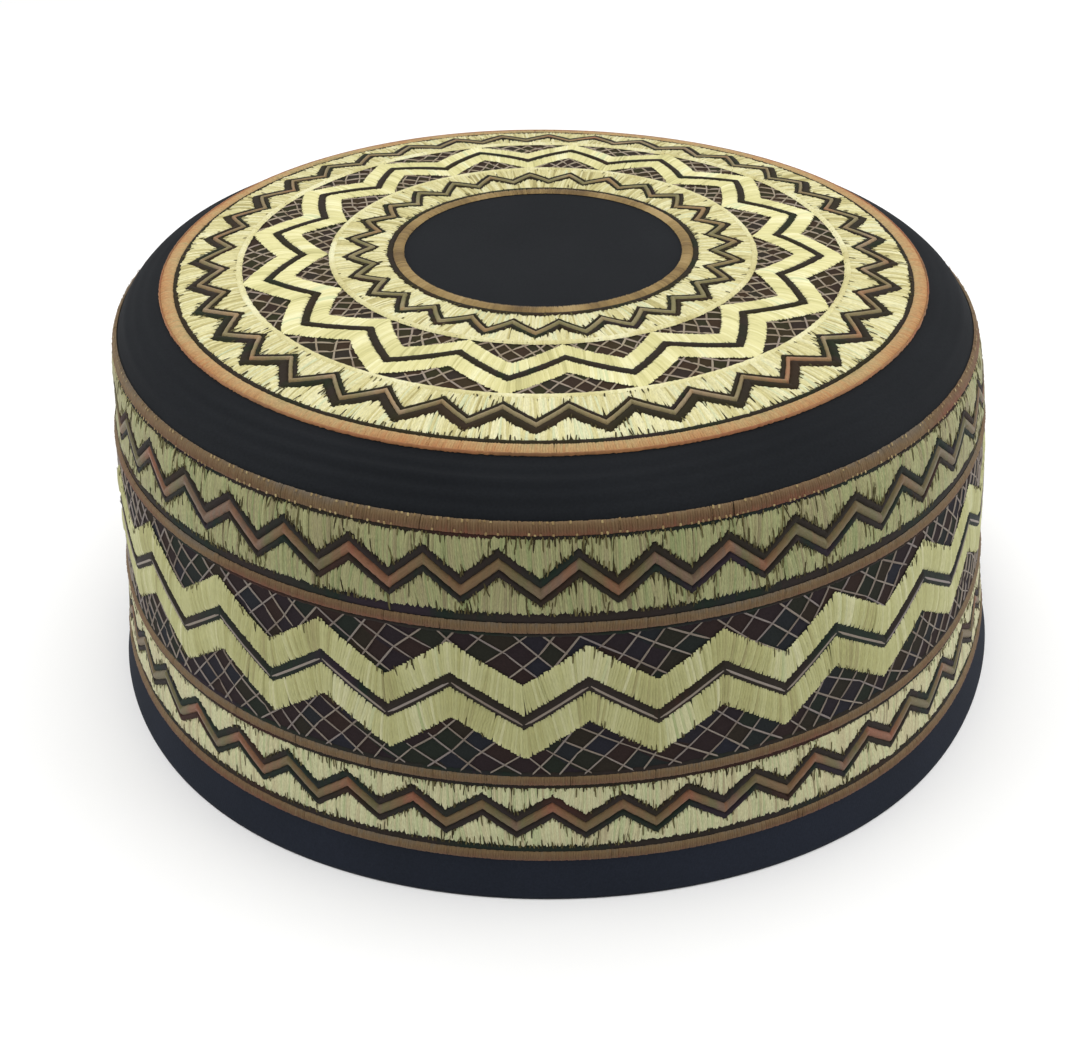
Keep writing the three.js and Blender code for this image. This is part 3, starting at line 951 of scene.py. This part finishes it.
# Net threads on the dark ground, and the thin thread between the side's bands
net = Strands()
side_net.threads(net, at_height(lower_line[1] - 0.5 * MM), at_height(upper_line[0]),
                 beside(side_zig, height_of, SIDE_BAND, side_space), *SIDE_THREAD)
corner = np.append(side_zig.angle, side_zig.angle[0] + TURN) + side_zig.start
mid_s = at_height(side_zig(corner) + SIDE_BAND + 0.4 * side_space)
net.add(corner[:-1], mid_s[:-1], corner[1:], mid_s[1:], *MIDDLE_THREAD, rng.random(2 * SIDE_TEETH), 0.9)
net.build("side_net_threads", NET, "copper_thread")

net = Strands()
crown_net.threads(net, at_radius(arc_out), at_radius(arc_in),
                  beside(star_zig, radius_of, STAR_BAND, star_space), *CROWN_THREAD)
net.build("crown_net_threads", NET_CROWN, "copper_thread")

# Floor
FLOOR_HALF, FLOOR_DROP = 4.0, 0.2 * MM
floor_mesh = bpy.data.meshes.new("floor")
corners = [(x * FLOOR_HALF, y * FLOOR_HALF, 0) for x, y in ((-1, -1), (1, -1), (1, 1), (-1, 1))]
floor_mesh.from_pydata(corners, [], [(0, 1, 2, 3)])
floor = bpy.data.objects.new("floor", floor_mesh)
bpy.context.scene.collection.objects.link(floor)
floor_material, _, floor_shader = tree_of("pale_floor")
set_values(floor_shader, {"Base Color": (0.9, 0.9, 0.9, 1), "Roughness": 0.9})
floor_mesh.materials.append(floor_material)
floor.location.z = -FLOOR_DROP

# Light
world = bpy.data.worlds.new("studio")
bpy.context.scene.world = world
world.use_nodes = True
set_values(world.node_tree.nodes["Background"], {"Color": (1, 1, 1, 1), "Strength": 0.55})

AIM = Vector((0, 0, 0.04))
for name, size, power, location in (
    ("top_light", 1.0, 8.0, (0.0, 0.15, 1.1)),
    ("front_light", 0.8, 1.2, (-0.2, -1.0, 0.5)),
    ("left_light", 0.8, 4.4, (-1.0, -0.1, 0.4)),
    ("right_light", 0.8, 5.4, (1.0, -0.1, 0.4)),
):
    light = bpy.data.lights.new(name, "AREA")
    light.shape = "SQUARE"
    light.size = size
    light.energy = power
    lamp = bpy.data.objects.new(name, light)
    bpy.context.scene.collection.objects.link(lamp)
    lamp.location = location
    lamp.rotation_mode = "QUATERNION"
    lamp.rotation_quaternion = (AIM - Vector(location)).to_track_quat("-Z", "Y")

# Camera at the photograph's angle: picture width and focal length in pixels, elevation, roll and offset
PICTURE, FOCAL = 1080, 1361.6
ELEVATION, ROLL = math.radians(34.07), math.radians(1.70)
UNIT = 95 * MM
DISTANCE, OFFSET_X, OFFSET_Y = 3.2086 * UNIT, -0.0321 * UNIT, 0.1193 * UNIT
SENSOR, NEAR = 36, 0.01
back = Vector((0, -math.cos(ELEVATION), math.sin(ELEVATION)))
right = Vector((1, 0, 0))
up = back.cross(right)
camera_data = bpy.data.cameras.new("camera")
camera_data.sensor_fit = "HORIZONTAL"
camera_data.sensor_width = SENSOR
camera_data.lens = FOCAL / PICTURE * SENSOR
camera_data.clip_start = NEAR
camera = bpy.data.objects.new("camera", camera_data)
bpy.context.scene.collection.objects.link(camera)
turned_right = right * math.cos(ROLL) - up * math.sin(ROLL)
turned_up = right * math.sin(ROLL) + up * math.cos(ROLL)
eye = back * DISTANCE + right * OFFSET_X + up * OFFSET_Y
camera.matrix_world = Matrix((*zip(turned_right, turned_up, back, eye), (0, 0, 0, 1)))
bpy.context.scene.camera = camera
bpy.context.scene.view_settings.view_transform = "Standard"
